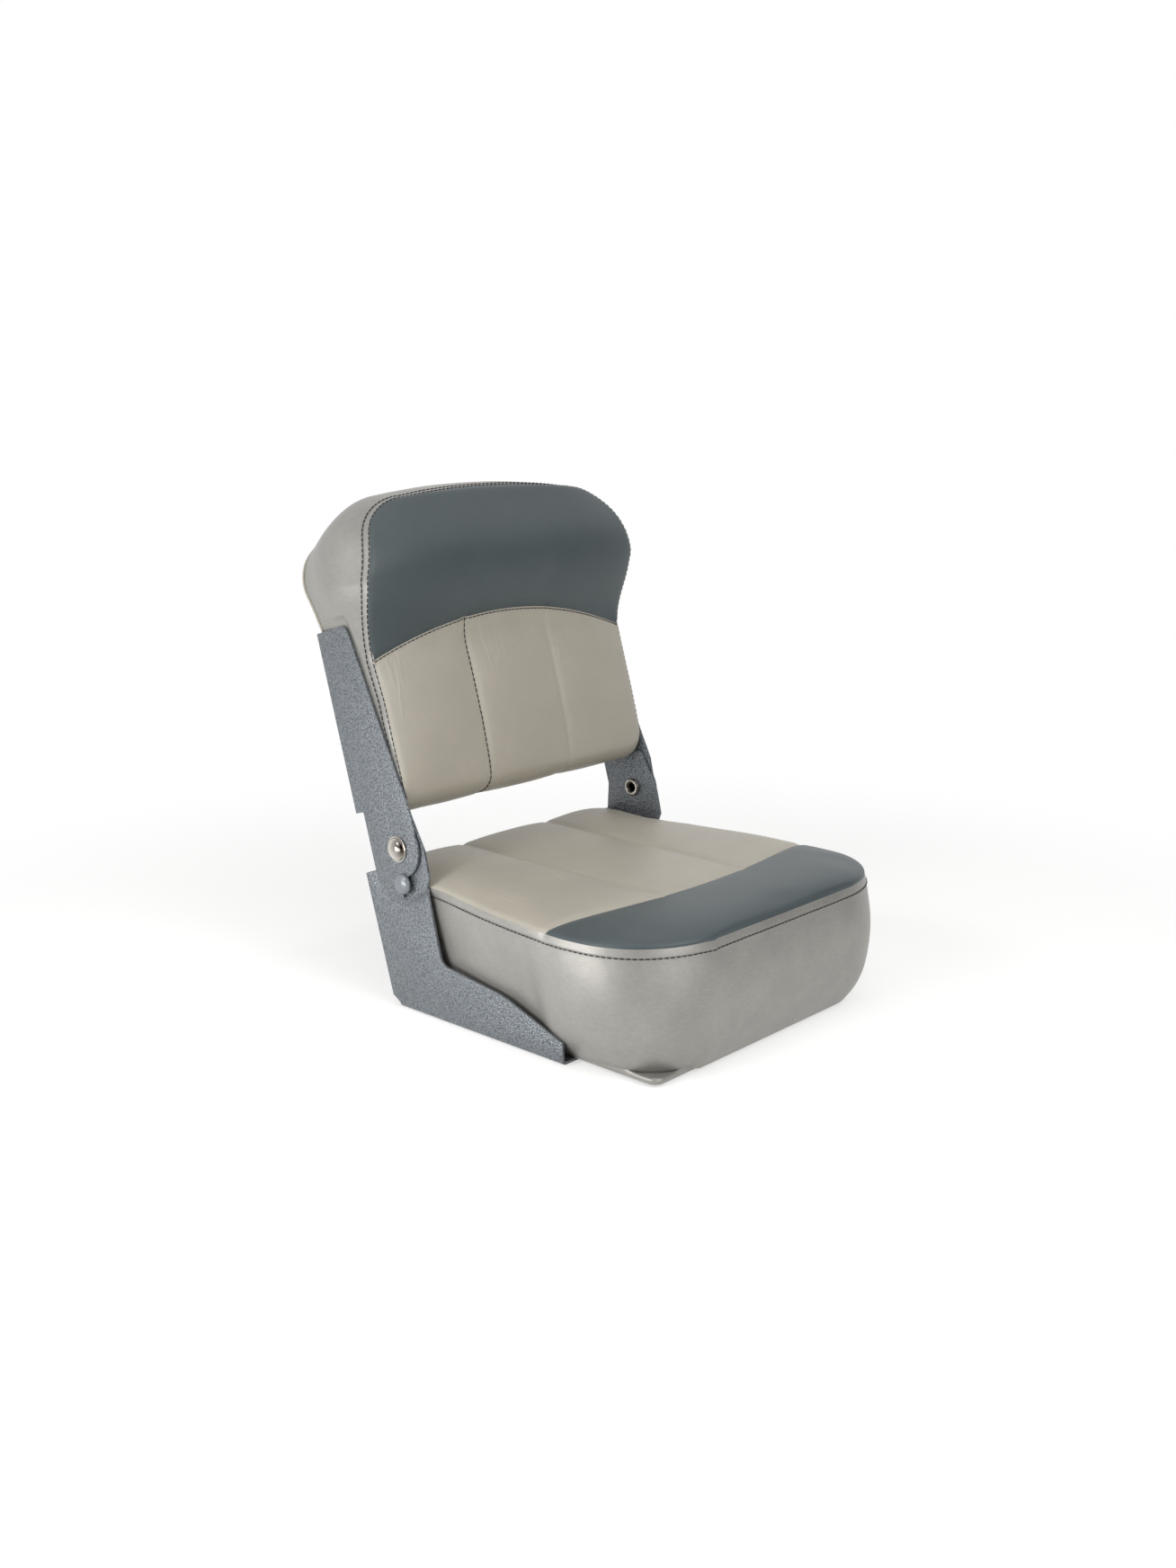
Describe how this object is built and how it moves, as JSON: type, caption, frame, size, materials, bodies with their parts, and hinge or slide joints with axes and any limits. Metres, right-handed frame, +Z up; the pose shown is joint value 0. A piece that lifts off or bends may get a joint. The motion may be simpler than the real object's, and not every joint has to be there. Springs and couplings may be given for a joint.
{
  "type": "folding boat seat",
  "caption": "Low-back folding boat seat: sewn vinyl seat and back cushions on a painted folded-steel frame, with a back that folds forward on side rivets.",
  "frame": {"origin": "middle of the footprint, on the plane of the bottom flanges", "axes": "+Z up, the sitter looks along -Y, the hinge axis lies along +X"},
  "size_m": [0.4134, 0.5055, 0.5262],
  "materials": {
    "hammer_paint": "grey hammer-finish enamel",
    "chrome": "polished",
    "zinc_plate": "zinc plated",
    "plywood": "raw",
    "foam": "open-cell foam",
    "beige_vinyl": "soft grained vinyl",
    "slate_vinyl": "soft grained vinyl",
    "silver_vinyl": "pearl vinyl"
  },
  "bodies": {
    "seat": {"seat_frame": "hammer_paint", "seat_board": "plywood", "seat_board_wrap": "silver_vinyl", "seat_foam": "foam", "seat_panel_left": "beige_vinyl", "seat_panel_centre": "beige_vinyl", "seat_panel_right": "beige_vinyl", "seat_front_band": "slate_vinyl", "seat_boxing": "silver_vinyl", "seat_screw_1": "zinc_plate", "seat_screw_2": "zinc_plate", "seat_screw_3": "zinc_plate", "seat_screw_4": "zinc_plate", "seat_screw_5": "zinc_plate", "seat_screw_6": "zinc_plate", "seat_tee_nut_1": "zinc_plate", "seat_tee_nut_2": "zinc_plate", "seat_tee_nut_3": "zinc_plate", "seat_tee_nut_4": "zinc_plate", "pivot_rivet_left": "chrome", "pivot_rivet_right": "chrome", "pivot_washer_left": "zinc_plate", "pivot_washer_right": "zinc_plate", "stop_rivet_left": "hammer_paint", "stop_rivet_right": "hammer_paint"},
    "backrest": {"back_frame": "hammer_paint", "back_board": "plywood", "back_foam": "foam", "back_panel_left": "beige_vinyl", "back_panel_centre": "beige_vinyl", "back_panel_right": "beige_vinyl", "back_head_panel": "slate_vinyl", "back_boxing": "silver_vinyl", "back_rear_cover": "beige_vinyl", "back_screw_1": "zinc_plate", "back_screw_2": "zinc_plate", "back_screw_3": "zinc_plate", "back_screw_4": "zinc_plate", "back_screw_5": "zinc_plate", "back_screw_6": "zinc_plate"}
  },
  "joints": [
    {"name": "backrest fold", "type": "hinge", "parent": "seat", "child": "backrest", "pos_m": [0, 0.1064, 0.1708], "axis": [1, 0, 0], "range_deg": [0, 92]}
  ]
}
